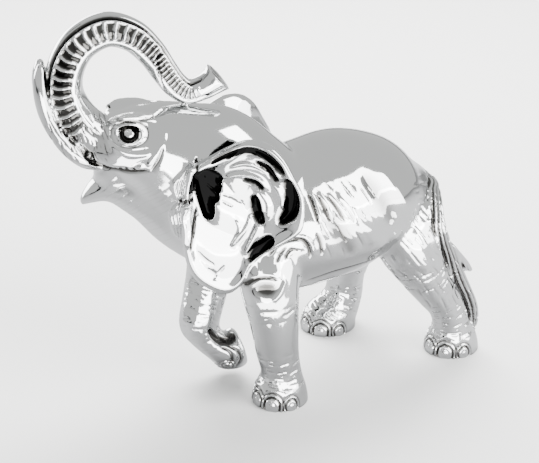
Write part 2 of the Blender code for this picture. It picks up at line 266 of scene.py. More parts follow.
# %% Draw the trunk, the tusks and the tail
TRUNK = [(-46, 0, 129, 12.5, 13), (-56, 0, 132.5, 12, 12.5), (-65, 0, 138, 11, 11),
         (-72.6, 0, 147.2, 9.8, 10), (-77, 0, 159.6, 8.8, 9), (-75.8, 0, 172, 8.4, 8.8),
         (-69, 0, 183.4, 8, 8.6), (-56.8, 0, 189.6, 7.6, 8.4), (-44.9, 0, 186.2, 7.2, 7.7),
         (-36.4, 0, 177.6, 6.8, 7), (-30.6, 0, 168.3, 6.5, 6.5), (-25.4, 0, 160.6, 6.4, 6.2),
         (-19.4, 0, 156.4, 6.2, 5.8), (-12.6, 0, 158, 6, 5.9), (-8, 0, 160.6, 6.4, 6.6),
         (-4.8, 0, 163.2, 7, 8)]
TAIL = [(98, 1, 88, 2.3, 2.3), (104.6, -4, 90, 3, 3), (105.4, -10.5, 90, 3.5, 3.5),
        (102.8, -17.5, 88, 3.9, 3.7), (100.3, -23.3, 82.6, 4.6, 4.1), (99.2, -27.3, 75.8, 4.8, 4.1),
        (101.8, -27.8, 66.4, 4.8, 4.1), (107, -26.5, 55.5, 5.1, 4.4), (112.6, -26, 42.6, 5.3, 4.8),
        (117.5, -26.5, 32, 5.3, 4.8), (121.2, -26.6, 23, 4.4, 4.4), (123.4, -26.6, 14, 3, 3),
        (123.8, -26.4, 10.5, 1.4, 1.4)]
TUSK_HALF = 3.6


def trunk(bm):
    limb(bm, TRUNK, sides=64, steps=10)


def tusks(bm):
    for side in (-1, 1):
        path = [(-60, 3, 124, 1.1, 1.1), (-65, 5.5, 125.5, 1.1, 1.1),
                (-70, 8.5, 128.5, 1.1, 1.1), (-76.5, 8.5, 134.5, 1.1, 1.1),
                (-82.4, 7, 143, 1.15, 1.05), (-86.4, 5.6, 152, 1.15, 1.0), (-88.2, 4.6, 161, 1.15, 0.95),
                (-88.4, 3.8, 168, 1.0, 0.85), (-87.6, 3.2, 173.4, 0.75, 0.6), (-87.0, 3.0, 175, 0.4, 0.3)]
        limb(bm, [(x, y * side, z, wide * TUSK_HALF, deep * TUSK_HALF) for x, y, z, wide, deep in path],
             steps=10)


def tail(bm):
    limb(bm, TAIL, sides=40, steps=8)
    limb(bm, [(103, -26, 66, 2.5, 2.5), (108.5, -25.5, 59, 3.7, 3.2), (115, -24.5, 51, 3.9, 3.2),
              (120, -24, 45.6, 3.2, 2.5), (123.3, -24, 42.6, 1.6, 1.2)], sides=20, steps=8)


# %% [markdown]
# ## Ears
# Each ear is a dish. Rings run from a hub in the middle of its face out to the rim and back behind it, so
# the sheet has a true thickness. How far the face stands out from the skull is one formula: a rolled rim, a
# deep hollow where the ear canal lies, and a smooth lobe below it.

# %% Draw the ears
EAR_OUTLINE = [(30.5, 106), (28.5, 97), (18, 87.3), (7.3, 78.5), (1.2, 65.6), (-6, 60.8), (-14.5, 64),
               (-21.5, 71), (-25, 82), (-26, 97), (-25, 112), (-21.5, 126), (-12, 132.6), (-4, 137.5),
               (5, 141.6), (14, 140.6), (21, 134.5), (26, 125), (30, 116)]
EAR_HUB = (-1.0, 103.0)
EAR_THICKNESS = 5.6
RIGHT_EAR_FORWARD = 5.0  # the right ear sits a little further forward than the left


def ear_face(x, z, reach):
    """How far the ear's face stands out sideways at reach, from 0 at the hub to 1 at the rim."""
    out = 23.5 + 0.0054 * (x + 22) ** 2
    out += 2.2 * bump(reach - 0.92, 0.09) - 2.6 * bump(reach, 0.62)
    out -= 6.5 * bump(math.hypot((x + 13) / 7.5, (z - 113) / 11.5), 1.0)
    out += 3.2 * bump(math.hypot((x + 9) / 12, (z - 80) / 18), 1.0)
    return out


def ears(bm):
    edge = spline(EAR_OUTLINE + EAR_OUTLINE[:1], 14)[:-1]
    face = [(step / 60, 0.0) for step in range(1, 60)]
    back = [(0.99, 0.08), (0.998, 0.25), (1.0, 0.5), (0.995, 0.75), (0.97, 0.95), (0.85, 1.1), (0.5, 1.8),
            (0.05, 1.8)]
    for side in (-1, 1):
        forward = RIGHT_EAR_FORWARD if side > 0 else 0.0
        rings = []
        for reach, sunk in face + back:
            ring = []
            for x, z in edge:
                x = EAR_HUB[0] + reach * (x - EAR_HUB[0])
                z = EAR_HUB[1] + reach * (z - EAR_HUB[1])
                out = ear_face(x, z, min(reach, 1.0 - 0.07 * sunk))
                ring.append((x - forward, side * (out - sunk * EAR_THICKNESS), z))
            rings.append(ring)
        grow_skin(bm, rings)


# %% [markdown]
# ## One skin
# The real elephant has no seams, because it was carved from one lump. Overlapping forms get one skin from a
# voxel remesh, which melts them together, and a smoothing pass rounds the joins. The big masses are melted
# first and eased for long, like muscle under hide. The trunk, ears, tusks and tail join them in a second,
# finer pass that keeps their edges.

# %% Melt the forms together
GRAIN = 0.5  # the finest step of the skin, in drawn parts


def as_mesh(bm, name):
    """The modelled form as a mesh. The model itself is let go."""
    mesh = bpy.data.meshes.new(name)
    bm.to_mesh(mesh)
    bm.free()
    return mesh


def as_object(name, data):
    """A new object in the scene."""
    made = bpy.data.objects.new(name, data)
    bpy.context.scene.collection.objects.link(made)
    return made


def settled(carrier):
    """The carrier's mesh with its modifiers applied. The carrier itself goes."""
    bpy.context.view_layer.update()
    seen = carrier.evaluated_get(bpy.context.evaluated_depsgraph_get())
    result = bpy.data.meshes.new_from_object(seen)
    bpy.data.objects.remove(carrier)
    return result


def posed(makers, pose):
    """Model some forms on the straight figure and pose them."""
    forms = bmesh.new()
    for maker in makers:
        maker(forms)
    for vert in forms.verts:
        vert.co = pose(vert.co)
    bmesh.ops.recalc_face_normals(forms, faces=forms.faces[:])
    return as_mesh(forms, "forms")


def melted(meshes, grain, rounds, rounder=False):
    """One eased skin over several meshes, as a new mesh."""
    both = bmesh.new()
    for mesh in meshes:
        both.from_mesh(mesh)
        bpy.data.meshes.remove(mesh)
    lump = as_mesh(both, "lump")
    carrier = as_object("lump", lump)
    melt = carrier.modifiers.new("Melt", "REMESH")
    melt.mode = "VOXEL"
    melt.voxel_size = grain
    melt.adaptivity = 0.0
    ease = carrier.modifiers.new("Ease", "SMOOTH")
    ease.factor = 0.5
    ease.iterations = rounds
    if rounder:
        finer = carrier.modifiers.new("Rounder", "SUBSURF")
        finer.levels = 1
    result = settled(carrier)
    bpy.data.meshes.remove(lump)
    return result


def straight(point):
    return point


masses = melted([posed((torso, legs), straight), posed((head,), turned)], 1.2, 16, rounder=True)
print("the masses have", len(masses.polygons), "faces")
clay = melted([masses, posed((trunk, tusks), turned), posed((ears,), swung), posed((tail,), straight)],
              GRAIN, 4)
print("the clay has", len(clay.polygons), "faces")

# %% [markdown]
# ## Ready for carving
# The eyes need smaller facets than the rest, so the faces there are divided once more. Then every place on
# the skin and the way it faces go into arrays. A mark of the chisel is a curve drawn in a side view or a
# top view: it says how strongly each place is touched, and the skin moves in or out by that much along its
# own normal. All marks are added up and cut in one go. A second sum, the painted shade, says where shade and
# dark reflections are painted into the silver as black.

# %% Finer facets for the eyes, and the clay as arrays
EYE = (-48.6, 142.2)  # the eye's middle on the straight head: along it, and up


def divided(mesh, chosen):
    """The mesh with the chosen faces divided once."""
    bm = bmesh.new()
    bm.from_mesh(mesh)
    bm.faces.ensure_lookup_table()
    edges = {edge for i in chosen for edge in bm.faces[i].edges}
    bmesh.ops.subdivide_edges(bm, edges=list(edges), cuts=1, use_grid_fill=True)
    bm.to_mesh(mesh)
    bm.free()


def rows(collection, name, length):
    """A mesh attribute as an array with one row for each place."""
    flat = np.empty(length * 3)
    collection.foreach_get(name, flat)
    return flat.reshape(-1, 3)


EYE_REACH = 9.0  # how far round the eye the facets are fine, and how far out it lies
middles = unswung(rows(clay.polygons, "center", len(clay.polygons)))
near_eye = np.hypot(middles[:, 0] - EYE[0], middles[:, 2] - EYE[1]) < EYE_REACH
divided(clay, np.flatnonzero(near_eye & (np.abs(middles[:, 1]) > EYE_REACH)))
place = rows(clay.vertices, "co", len(clay.vertices))
facing = rows(clay.vertex_normals, "vector", len(clay.vertices))
level = unswung(place)
level_facing = unswung(facing + np.array(TURN_PIVOT)) - np.array(TURN_PIVOT)
head_x, head_y, head_z = level.T
outward = np.abs(head_y)
relief = np.zeros(len(place))
# painted shade: how dark the silver is painted in grooves and hollows, standing in for shade and dark
# reflections
painted_shade = np.zeros(len(place))
print("the clay has", len(clay.polygons), "faces after the eyes were divided")


# %% Chisel marks
def mark(u, v, points, width, lean=1.0):
    """How strongly a tapering mark along a drawn curve touches each place, from 0 to 1.

    With lean above 1 the mark fades that much more slowly on its left, which makes a fold that overlaps.
    """
    path = np.array(spline(points, 6))
    reach = 3.0 * width * max(lean, 1.0)
    inside = ((u > path[:, 0].min() - reach) & (u < path[:, 0].max() + reach)
              & (v > path[:, 1].min() - reach) & (v < path[:, 1].max() + reach))
    touched = np.flatnonzero(inside)
    pu, pv = u[touched], v[touched]
    lengths = np.hypot(*np.diff(path, axis=0).T)
    run = np.concatenate([[0.0], np.cumsum(lengths)]) / lengths.sum()
    nearest = np.full(len(touched), np.inf)
    along = np.zeros(len(touched))
    left = np.zeros(len(touched), dtype=bool)
    for i in range(len(path) - 1):
        step = path[i + 1] - path[i]
        t = np.clip(((pu - path[i, 0]) * step[0] + (pv - path[i, 1]) * step[1]) / (step @ step), 0.0, 1.0)
        off_u = pu - path[i, 0] - t * step[0]
        off_v = pv - path[i, 1] - t * step[1]
        distance = np.hypot(off_u, off_v)
        closer = distance < nearest
        nearest = np.where(closer, distance, nearest)
        along = np.where(closer, run[i] + t * (run[i + 1] - run[i]), along)
        left = np.where(closer, step[0] * off_v - step[1] * off_u > 0, left)
    wide = width * (0.45 + 0.55 * np.sin(np.pi * along)) * np.where(left, lean, 1.0)
    strength = np.zeros(len(u))
    strength[touched] = bump(nearest, wide) * between(along, -0.02, 0.14, 0.86, 1.02)
    return strength


def head_mark(points, width, lean=1.0):
    """A mark drawn in the side view of the straight head."""
    return mark(head_x, head_z, points, width, lean)


def body_mark(points, width):
    """A mark drawn in the side view of the body."""
    return mark(place[:, 0], place[:, 2], points, width)


def along_limb(points, stations):
    """For each place: the run along a limb, the angle from its outer side, and how far out it lies."""
    path = np.array(spline(stations, 12))
    centres = path[:, :3]
    along = np.gradient(centres, axis=0)
    along /= np.linalg.norm(along, axis=1, keepdims=True)
    across = np.array([0.0, 1.0, 0.0]) - along * along[:, 1:2]
    across /= np.linalg.norm(across, axis=1, keepdims=True)
    deep = np.cross(along, across)
    runs = np.concatenate([[0.0], np.cumsum(np.linalg.norm(np.diff(centres, axis=0), axis=1))])
    margin = 1.6 * path[:, 3:].max()
    near = np.all((points > centres.min(axis=0) - margin) & (points < centres.max(axis=0) + margin), axis=1)
    run = np.full(len(points), -1.0)
    angle = np.zeros(len(points))
    out = np.full(len(points), 9.0)
    for some in np.array_split(np.flatnonzero(near), max(1, int(near.sum() / 8000))):
        gaps = points[some][:, None, :] - centres[None, :, :]
        k = (gaps ** 2).sum(axis=2).argmin(axis=1)
        gap = gaps[np.arange(len(some)), k]
        v = (gap * across[k]).sum(axis=1) / path[k, 3]
        u = (gap * deep[k]).sum(axis=1) / path[k, 4]
        run[some] = runs[k] + (gap * along[k]).sum(axis=1)
        angle[some] = np.degrees(np.arctan2(v, u))
        out[some] = np.hypot(u, v)
    return run, angle, out


print("the carving starts with", len(place), "places")

# %% [markdown]
# ## The trunk's rings
# A trunk folds in rings across its sides, between a smooth band along its outer edge and a narrow one along
# its inner edge. They are broad at the root and twice as fine towards the tip. Both bands end in a crease.

# %% Carve the trunk
PITCH_ROOT, PITCH_TIP = 4.3, 2.3
FINE_FROM, FINE_BY = 90.0, 112.0  # where along the trunk the rings turn fine
RING_DEPTH = 1.3
RING_SHARPNESS = 3.0  # the rings are narrow ridges with broad valleys between them
# the painted shade in the ring valleys is darkest at BLACKEST along the trunk and comes and goes in a wave
BLACKEST = 57.0  # where along the trunk the valleys are blackest first, and how fast that comes and goes
BLACK_WAVE = 0.114
RINGS_FROM, RINGS_TO = (22, 31), (141, 147)  # where along the trunk the rings begin and end
RINGS_LEAN = 0.12  # how much later they begin for each degree round
OUTER_CREASE, INNER_CREASE = 31.0, 109.0  # degrees round from the trunk's outer side
run, angle, out = along_limb(level, TRUNK)
side_angle = np.abs(angle)
on_trunk = between(out, 0.72, 0.82, 1.18, 1.3)
fine = ramp(run, FINE_FROM, FINE_BY)
samples = np.linspace(0.0, 200.0, 801)
pitch = PITCH_ROOT + (PITCH_TIP - PITCH_ROOT) * ramp(samples, FINE_FROM, FINE_BY)
phase = np.interp(run, samples, np.cumsum((samples[1] - samples[0]) / pitch))
wander = 0.06 * np.sin(side_angle * 0.11) + 0.05 * np.sin(run * 0.37)
ring = 0.5 + 0.5 * np.cos(2 * np.pi * (phase + wander))
band = between(side_angle, 45, 52, 102, 112)
start = ramp(run - RINGS_LEAN * (side_angle - 50), *RINGS_FROM) * (1 - ramp(run, *RINGS_TO))
depth = RING_DEPTH * (1 - 0.4 * fine)
relief += on_trunk * band * start * depth * (ring ** RING_SHARPNESS - 0.7)
# painted shade and painted dark reflections in the ring valleys
painted_dark_wave = 0.25 + 0.2 * np.cos((run - BLACKEST) * BLACK_WAVE)
painted_shade += on_trunk * band * start * (1 - ramp(ring, 0.45, 0.85)) * painted_dark_wave
whole = on_trunk * between(run, 16, 24, 142, 150)
from_outer, from_inner = side_angle - OUTER_CREASE, side_angle - INNER_CREASE
relief += whole * (0.45 * bump(from_outer - 13, 3.5) - 1.7 * bump(from_outer, 7.0))
# painted shade in the crease along the outer band
painted_shade += 0.5 * whole * bump(from_outer, 5.0)
relief += whole * (0.3 * bump(from_inner - 11, 8.0) - 0.4 * bump(from_inner, 3.5))
print("the trunk is", round(float(run.max())), "parts long and has",
      int(np.ptp(phase[(start > 0.5) & (on_trunk > 0.5)])), "rings")

# %% [markdown]
# ## The trunk's tip
# The tip flares and ends in two nostrils, with a small wart below it where it touches the forehead.

# %% Carve the tip
TIP_MIDDLE = np.array([-6.3, 0.0, 162.0])
TIP_AXIS = np.array([0.776, 0.0, 0.631])
TIP_UP = np.array([-0.631, 0.0, 0.776])
WART = np.array([-16.0, -6.2, 160.5])
ahead = (level - TIP_MIDDLE) @ TIP_AXIS
upward = (level - TIP_MIDDLE) @ TIP_UP
faces_on = level_facing @ TIP_AXIS > 0.35
at_end = ramp(ahead, -2.5, 0.5) * (np.hypot(upward, head_y) < 9.5) * faces_on
for side in (-1, 1):
    relief -= at_end * 2.0 * bump(np.hypot((head_y - 2.7 * side) / 1.5, (upward - 1.4) / 2.8), 1.0)
relief += 1.3 * bump(np.linalg.norm(level - WART, axis=1), 1.7)
print("the tip is carved on", int((at_end > 0.5).sum()), "places")

# %% [markdown]
# ## The ear's folds
# The ear's face is the liveliest carving of all. Crescents fan out around its middle like drapery, a deep
# hollow painted black as shade sits in front, a slot runs inside the lower rim, and the lobe stays almost
# plain.
# The curves are drawn in a side view of the straight head. Both ears get them, though only the left one shows
# its face.

# %% The ear's curves
EAR_RIDGES = [  # (curve as (x, z) points, width, height, lean)
    ([(-22, 124.5), (-17, 128.2), (-10.5, 131.4), (-3, 135.4), (5, 137.5)], 2.3, 1.5, 1),
    ([(-5.7, 130.1), (1, 135), (6.9, 135.6), (12.7, 133.2), (16.7, 129), (19.6, 122.5)], 1, 1, 1.8),
    ([(-6.4, 120.9), (-0.6, 123.2), (5.3, 123.4), (10.7, 121.4), (14.8, 116.5)], 1, 1.1, 1.9),
    ([(-3.5, 127), (3, 129.4), (9.5, 128.6), (15, 124.6)], 0.8, 0.7, 1.8),
    ([(7.7, 119.3), (12.2, 113.7), (14.5, 108.6), (14.3, 101)], 0.8, 1.2, 1.7),
    ([(8.2, 115.6), (11.2, 110.6), (12.1, 103.6)], 0.7, 0.9, 1.5),
    ([(14.9, 122), (18.7, 118.2), (20.6, 113.2), (20.3, 107.7)], 0.9, 1.2, 1.7),
    ([(6.3, 103.2), (5.2, 97.9), (1.6, 92.2), (-3.2, 86.2)], 0.8, 1.2, 1.6),
    ([(8.7, 103.7), (10.2, 98.1), (7.5, 91.2), (2.9, 81.9)], 0.9, 1.3, 1.7),
    ([(-0.9, 100.6), (1.1, 96.1), (0, 91.6), (-3.7, 86.3)], 0.7, 0.7, 1.5),
]
EAR_GROOVES = [  # (curve as (x, z) points, width, depth)
    ([(16.4, 93), (10.3, 86), (4.7, 79)], 2.3, 3.4),
    ([(21.8, 125.3), (24.2, 116.1), (23.4, 106.8), (18.8, 98.8)], 2.7, 3.4),
    ([(8, 113.4), (8.9, 105.5), (11.8, 97.6)], 2.2, 2.8),
    ([(-14, 129.2), (-6, 133.6), (2, 136.6), (10, 136), (17, 131.2), (21.5, 124.5)], 2, 2.9),
    ([(8, 131.2), (14, 127.6), (18.6, 121)], 1.5, 1.8),
    ([(2, 121), (8.6, 119.6), (12.4, 115.4)], 1.2, 1.4),
    ([(-7.2, 113.1), (-1.6, 111.4), (3.8, 107.7)], 0.6, 0.35),
    ([(-7.3, 110), (-1.3, 106.6)], 0.6, 0.35),
    ([(-19.2, 84.9), (-15.1, 80), (-10.6, 77.2)], 0.7, 0.45),
    ([(-9.6, 72.7), (-5.9, 77)], 0.7, 0.4),
    ([(-14.7, 75.6), (-10.7, 72.3), (-11.9, 69.7)], 0.8, 0.45),
]
HOLLOWS = [  # (curve as (x, z) points, width) of the hollow in front, which opens upwards
    ([(-19, 127), (-16.2, 120), (-14.6, 112), (-13.4, 104), (-13, 98)], 3.8),
    ([(-17.5, 124), (-12.5, 121), (-6, 118.5)], 3.8),
    ([(-15, 120), (-10.5, 116.5), (-7, 113.8)], 3.6),
    ([(-15.5, 116.5), (-11.5, 112), (-9, 108.5)], 3.4),
]
HOLLOW_DEPTH = 4.3
# strands of hide where the ear grows out of the cheek, above and below, each bulging further forward
STRANDS = [([(-19.5, 129), (0.5 * bulge - 9.5, 124.5), (bulge, 117.5), (0.5 * bulge - 12, 108.5)], 0.75)
           for bulge in (-23, -25, -27, -28.8)]
STRANDS += [([(-20.5, 112), (bulge, 104), (bulge + 0.3, 96), (0.5 * bulge - 12.2, 86)], 0.7)
            for bulge in (-23, -24.8, -26.6, -28.2, -29.6)]
STRAND_RISE = 1.3
EAR_SLITS = [  # (curve as (x, z) points, depth) of the slits between ear and cheek
    ([(-18, 131), (-18.8, 124), (-19.4, 115)], 1.2),
    ([(-27.6, 104.4), (-24.6, 110.4), (-20.2, 112.9)], 1),
    ([(-18.6, 107), (-20.2, 97.4), (-22.3, 84.5)], 1),
]
SLIT_WIDTH = 0.7

# %% Cut both ears
ear_edge = np.array(spline(EAR_OUTLINE + EAR_OUTLINE[:1], 14)[:-1]) - np.array(EAR_HUB)
bearings = np.arctan2(ear_edge[:, 1], ear_edge[:, 0])
order = bearings.argsort()
for side in (-1, 1):
    ear_x = head_x + (RIGHT_EAR_FORWARD if side > 0 else 0.0)
    ear_z = head_z
    from_hub = np.hypot(ear_x - EAR_HUB[0], ear_z - EAR_HUB[1])
    bearing = np.arctan2(ear_z - EAR_HUB[1], ear_x - EAR_HUB[0])
    rim = np.interp(bearing, bearings[order], np.hypot(*ear_edge[order].T), period=2 * math.pi)
    reach = from_hub / rim
    on_side = ramp(level_facing[:, 1] * side, 0.1, 0.45) * (head_y * side > 15)
    on_face = on_side * (1 - ramp(reach, 0.93, 1.0)) * (reach < 1.0)
    for points, width, height, lean in EAR_RIDGES:
        relief += on_face * height * mark(ear_x, ear_z, points, width, lean)
    for points, width, cut in EAR_GROOVES:
        touch = mark(ear_x, ear_z, points, width)
        relief -= on_face * cut * touch
        # painted shade in the deeper grooves
        painted_shade += on_face * ramp(cut * touch, 0.9, 1.6)
    hollow = np.max([mark(ear_x, ear_z, points, width) for points, width in HOLLOWS], axis=0)
    relief -= on_side * HOLLOW_DEPTH * ramp(hollow, 0.15, 0.85)
    # the hollow is painted black as shade
    painted_shade += on_side * ramp(hollow, 0.3, 0.5)
    for points, width in STRANDS:
        relief += on_side * STRAND_RISE * mark(ear_x, ear_z, points, width)
    for points, cut in EAR_SLITS:
        touch = on_side * mark(ear_x, ear_z, points, SLIT_WIDTH)
        relief -= cut * touch
        # painted shade in the slits
        painted_shade += 0.5 * touch
print("the ears have", len(EAR_RIDGES) + len(EAR_GROOVES), "folds each")

# %% [markdown]
# ## The face
# The eye is a small ball in a socket between two heavy lids, with a bag of skin below it and the hard edge
# of the flat forehead above. The upper lip overhangs the jaw in a row of short notches.

# %% Carve the face
EYE_HALF = (2.5, 2.1)  # half the eyeball's length and height
front = ramp(-head_x, 26, 32)
cheek = front * ramp(outward, 5, 8)
across_eye = (head_x - EYE[0]) / EYE_HALF[0]
up_eye = (head_z - EYE[1]) / EYE_HALF[1]
eye_ring = np.hypot(across_eye, up_eye)
eye_side = cheek * (np.hypot(head_x - EYE[0], head_z - EYE[1]) < EYE_REACH)
relief += eye_side * 1.1 * np.sqrt(np.clip(1 - eye_ring ** 2, 0.0, 1.0))
relief -= eye_side * 1.9 * bump(eye_ring - 1.4, 0.36)
relief += eye_side * 0.9 * bump(np.hypot(across_eye * 0.9, up_eye) - 2.15, 0.28)
relief -= eye_side * 0.6 * bump(np.hypot(across_eye * 0.8, up_eye) - 2.75, 0.22)
relief -= eye_side * 0.3 * bump(eye_ring, 0.22)
FACE_RIDGES = [  # (curve as (x, z) points, width, height, lean)
    ([(-58.4, 142.3), (-57, 138.4), (-52.9, 134.8), (-46.7, 132.6), (-39.2, 133)], 1.4, 0.9, 1.6),
    ([(-31.6, 143), (-34.1, 136.4), (-38.8, 130.2), (-41.6, 126.3)], 1, 0.6, 1.5),
    ([(-62, 128.9), (-54.6, 127), (-46, 126.2), (-41, 127)], 1.8, 0.6, 1),
]
FACE_GROOVES = [  # (curve as (x, z) points, width, depth), the mouth first
    ([(-71.5, 135.5), (-68.4, 130.2), (-64.8, 126.2), (-60.3, 123.9), (-55.8, 123.8), (-48.9, 123.3),
      (-39.2, 124.8)], 1, 1.5),
    ([(-33.3, 136.5), (-35.7, 129.7), (-39.4, 124.3)], 0.8, 0.9),
    ([(-54.5, 138.6), (-50, 136.9), (-44.5, 136.4)], 0.5, 0.3),
    ([(-52, 136.2), (-47, 134.9), (-41, 135.4)], 0.5, 0.3),
    ([(-63.2, 150.5), (-60.6, 147.5), (-56, 146.6)], 0.6, 0.5),
]
for points, width, height, lean in FACE_RIDGES:
    relief += cheek * height * head_mark(points, width, lean)
for points, width, cut in FACE_GROOVES:
    relief -= cheek * cut * head_mark(points, width)
lip = spline(FACE_GROOVES[0][0], 8)
notches = range(9, len(lip) - 6, 3)
for i in notches:
    lip_x, lip_z = lip[i]
    length = 2.2 + 1.4 * math.sin(2.3 * i) ** 2
    notch = cheek * head_mark([(lip_x, lip_z), (lip_x - 0.9, lip_z + length)], 0.6)
    relief -= 0.75 * notch
    # painted shade in each notch
    painted_shade += 0.4 * notch
brow = [(-56.5, 8.6), (-52.1, 11.2), (-47.2, 11.6), (-42.7, 11.2), (-38.1, 9.2), (-33.0, 5.2), (-29.5, 3.0)]
on_brow = front * (head_z > 143)
relief -= on_brow * 0.8 * mark(head_x, outward, [(x, y + 0.7) for x, y in brow], 0.7)
relief += on_brow * 0.5 * mark(head_x, outward, [(x, y - 0.5) for x, y in brow], 0.9)
print("the lip has", len(notches), "notches")

# %% [markdown]
# ## Hide on the body
# The body is smooth and bright, so what folds there are show well: strands of hide behind the ear, arcs
# round the elbow, a crease along the belly, and fine lines that run down the flank and the thigh.

# %% Carve the body
BODY_GROOVES = [  # (curve as (x, z) points, width, depth)
    ([(27.4, 108), (28.8, 102.5), (29.6, 94)], 0.9, 0.9),
    ([(31.6, 107.5), (34, 101.5), (36, 93.5)], 0.8, 0.8),
    ([(36.3, 106.6), (40, 100.8), (43.7, 92.4)], 0.8, 0.7),
    ([(40.5, 105), (45, 98.5), (49, 91)], 0.7, 0.5),
    ([(28, 90.5), (30.5, 84), (31, 77)], 0.9, 0.6),
    ([(3.5, 81), (10, 85.6), (16.1, 88), (21, 87.6), (24.4, 82.7), (25.2, 76)], 0.9, 1),
    ([(12.4, 78.2), (15.8, 82.8), (20.1, 81.9)], 0.7, 0.8),
    ([(7, 78), (10.8, 81.8), (14, 84.4)], 0.7, 0.6),
    ([(26, 60.8), (38.6, 63.8), (50.5, 64.2), (62.1, 64.8), (70, 63)], 0.8, 0.6),
    ([(-7.5, 66), (-4, 70.4), (1.5, 72.4), (7, 70.4)], 0.9, 0.7),
]
SWELLS = [  # (curve as (x, z) points, width, height), first the hollow between the ribs and the haunch
    ([(57, 112), (63, 102), (68, 92), (72, 84)], 4.2, -1.1),
    ([(70, 80), (78, 74), (85, 65), (91, 54)], 5.5, 1.5),
    ([(67, 112), (74, 102), (80, 90), (86, 77), (90, 62)], 4.6, 0.9),
    ([(42, 108), (48, 99), (55, 88), (61, 76)], 5.2, 0.7),
    ([(33, 104), (37, 95), (43, 84), (49, 72)], 4, -0.6),
]
KNEE_DIMPLE = (1.0, 66.5)  # along the body, and up
KNEE_MUSCLE = [(2.6, 60.4), (7.6, 65.0), (11.0, 70.4)]
x, y, z = place.T
near_side = ramp(-y, 12, 18)
far_side = ramp(y, 12, 18)
both_sides = near_side + 0.7 * far_side * (x > 25)
for points, width, cut in BODY_GROOVES:
    touch = body_mark(points, width)
    edge = body_mark([(u + 1.9, v + 0.7) for u, v in points], 1.1 * width)
    relief += both_sides * cut * (0.5 * edge - touch)
    # painted shade in each body groove
    painted_shade += both_sides * 0.3 * cut * touch
side_on = near_side + far_side
for points, width, height in SWELLS:
    relief += side_on * height * body_mark(points, width)
# less painted shade in the hollow between the ribs and the haunch
painted_shade -= 0.15 * side_on * body_mark(*SWELLS[0][:2])
relief -= near_side * 1.6 * bump(np.hypot((x - KNEE_DIMPLE[0]) / 4.6, (z - KNEE_DIMPLE[1]) / 3.0), 1.0)
relief += near_side * 0.9 * body_mark(KNEE_MUSCLE, 1.3)
print("the body has", len(BODY_GROOVES), "folds and", len(SWELLS), "soft forms")


# %% Fine wrinkles
def skin_lines(across, along, pitch, broken, seed):
    """Fine wrinkles at a pitch, wandering and broken up, between -1 and 0."""
    wander = 0.55 * np.sin(along / broken + seed) + 0.35 * np.sin(along / (0.43 * broken) + 2.1 * seed)
    lines = np.cos(2 * np.pi * (across / pitch) + 2.2 * wander)
    patches = (np.sin(along / (0.9 * broken) + 1.7 * across / pitch + seed)
               * np.sin(along / (0.37 * broken) - 0.8 * across / pitch + 3 * seed))
    return -ramp(lines, 0.55, 1.0) * ramp(patches, -0.3, 0.5)


# down the flank and the thigh, as diagonals
slope = 0.82 * x + 0.57 * z
slant = -0.57 * x + 0.82 * z
thigh = ramp(x, 70, 84) * between(z, 22, 32, 78, 96) * ramp(np.abs(y), 14, 22)
relief += 0.42 * thigh * skin_lines(slope, slant, 3.1, 7.0, 0.7)
flank = between(x, 26, 36, 52, 66) * between(z, 70, 84, 104, 114)
ribs = flank * near_side * skin_lines(x - 0.42 * (100 - z), z, 3.6, 9.0, 1.9)
relief += 0.34 * ribs
# painted shade in the flank's wrinkles
painted_shade -= 0.12 * ribs
rump = ramp(x, 84, 96) * between(z, 66, 78, 96, 104)
relief += 0.22 * rump * skin_lines(0.35 * x + 0.93 * z, x, 2.9, 6.0, 2.6)
# down the jaw, the cheek and the trunk's root, as if brushed
jaw = ramp(-head_x, 24, 34) * (1 - ramp(head_z, 112, 122)) * ramp(outward, 3, 6)
relief += 0.16 * jaw * skin_lines(head_z - 0.82 * head_x, head_x, 2.6, 6.5, 0.4)
root = ramp(-head_x, 56, 60) * between(head_z, 127, 132, 147, 154)
brushed = root * skin_lines(head_x + 0.35 * head_z, head_z, 2.0, 4.2, 1.3)
relief += 0.26 * brushed
# a faint painted shade over the trunk's root, darker in its brushed lines
painted_shade += 0.06 * root - 0.16 * brushed
print("wrinkles brush", int((brushed < 0).sum()), "places on the trunk's root")

# %% [markdown]
# ## Legs and feet
# Wrinkles ring each leg where it bends and above the foot. Every toenail is a low dome in a nest of arcs.

# %% Carve the legs
WRINKLED = [  # (leg, heights between which its ankle is wrinkled, and the same for its knee)
    (LEFT_FORELEG, (8, 32), (46, 60)),
    (LEFT_HIND_LEG, (8, 34), (36, 58)),
    (RIGHT_HIND_LEG, (8, 30), (30, 50)),
]
GIRTH_PER_DEGREE = 0.19  # on a leg 11 parts in radius
for stations, ankle, knee in WRINKLED:
    run, angle, out = along_limb(place, stations)
    on_leg = (out < 1.35) * ramp(out, 0.6, 0.8)
    low = between(z, ankle[0], ankle[0] + 3, ankle[1] - 8, ankle[1])
    bend = between(z, knee[0], knee[0] + 6, knee[1] - 6, knee[1])
    girth = angle * GIRTH_PER_DEGREE
    relief += on_leg * low * 0.5 * skin_lines(run, girth, 2.1, 5.0, 0.9)
    relief += on_leg * bend * 0.4 * skin_lines(run, girth, 2.7, 6.0, 2.2)
run, angle, out = along_limb(place, LIFTED_LEG)
relief += (out < 1.3) * ramp(run, 44, 52) * 0.2 * skin_lines(run, angle * GIRTH_PER_DEGREE, 2.4, 5.0, 1.4)
